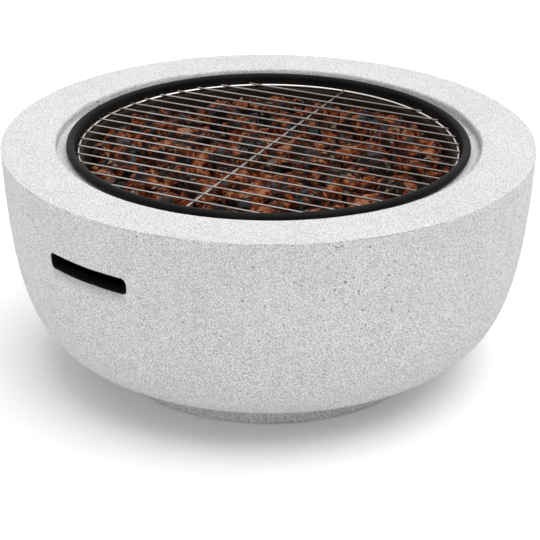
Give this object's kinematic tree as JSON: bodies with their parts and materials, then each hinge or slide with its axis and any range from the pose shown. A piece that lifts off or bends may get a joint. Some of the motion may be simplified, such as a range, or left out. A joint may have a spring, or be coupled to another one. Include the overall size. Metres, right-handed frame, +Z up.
{
  "type": "fire pit",
  "caption": "Round cast fire pit with a lift-out steel fire bowl, a charcoal bed on a grate and a wire cooking grate, with hand slots in its sides.",
  "frame": {"origin": "middle of the footprint, on the surface that the foot ring stands on", "axes": "+Z up along the axis of the bowl, X through the two hand slots, pictured slot at -X"},
  "size_m": [0.6798, 0.6798, 0.3023],
  "materials": {
    "cast_stone": "speckled matt",
    "bowl_enamel": "satin black",
    "chrome_wire": "bright plated",
    "heat_steel": "heat darkened",
    "charcoal": "burnt matt",
    "fibre_pad": "matt"
  },
  "bodies": {
    "shell": {"cast_body": "cast_stone", "foot_ring": "cast_stone", "rim_spacer_01": "fibre_pad", "rim_spacer_02": "fibre_pad", "rim_spacer_03": "fibre_pad"},
    "bowl": {"fire_bowl": "bowl_enamel"},
    "charcoal_grate": {"charcoal_bar_01": "heat_steel", "charcoal_bar_02": "heat_steel", "charcoal_bar_03": "heat_steel", "charcoal_bar_04": "heat_steel", "charcoal_bar_05": "heat_steel", "charcoal_bar_06": "heat_steel", "charcoal_bar_07": "heat_steel", "charcoal_bar_08": "heat_steel", "charcoal_bar_09": "heat_steel", "charcoal_bar_10": "heat_steel", "charcoal_bar_11": "heat_steel", "charcoal_bar_12": "heat_steel", "charcoal_bar_13": "heat_steel", "charcoal_bar_14": "heat_steel", "charcoal_bar_15": "heat_steel", "charcoal_cross_01": "heat_steel", "charcoal_cross_02": "heat_steel", "charcoal_leg_01": "heat_steel", "charcoal_leg_02": "heat_steel", "charcoal_leg_03": "heat_steel", "charcoal_leg_04": "heat_steel", "charcoal_ring": "heat_steel", "charcoal_row_01": "charcoal", "charcoal_row_02": "charcoal", "charcoal_row_03": "charcoal", "charcoal_row_04": "charcoal"},
    "cooking_grate": {"cook_bar_01": "chrome_wire", "cook_bar_02": "chrome_wire", "cook_bar_03": "chrome_wire", "cook_bar_04": "chrome_wire", "cook_bar_05": "chrome_wire", "cook_bar_06": "chrome_wire", "cook_bar_07": "chrome_wire", "cook_bar_08": "chrome_wire", "cook_bar_09": "chrome_wire", "cook_bar_10": "chrome_wire", "cook_bar_11": "chrome_wire", "cook_bar_12": "chrome_wire", "cook_bar_13": "chrome_wire", "cook_bar_14": "chrome_wire", "cook_bar_15": "chrome_wire", "cook_bar_16": "chrome_wire", "cook_bar_17": "chrome_wire", "cook_bar_18": "chrome_wire", "cook_cross": "chrome_wire", "cook_ring": "chrome_wire"}
  },
  "joints": [
    {"name": "bowl_lift", "type": "slide", "parent": "shell", "child": "bowl", "axis": [0, 0, 1], "range_m": [0, 0.16]},
    {"name": "charcoal_lift", "type": "slide", "parent": "bowl", "child": "charcoal_grate", "axis": [0, 0, 1], "range_m": [0, 0.16]},
    {"name": "grate_lift", "type": "slide", "parent": "charcoal_grate", "child": "cooking_grate", "axis": [0, 0, 1], "range_m": [0, 0.1]}
  ]
}
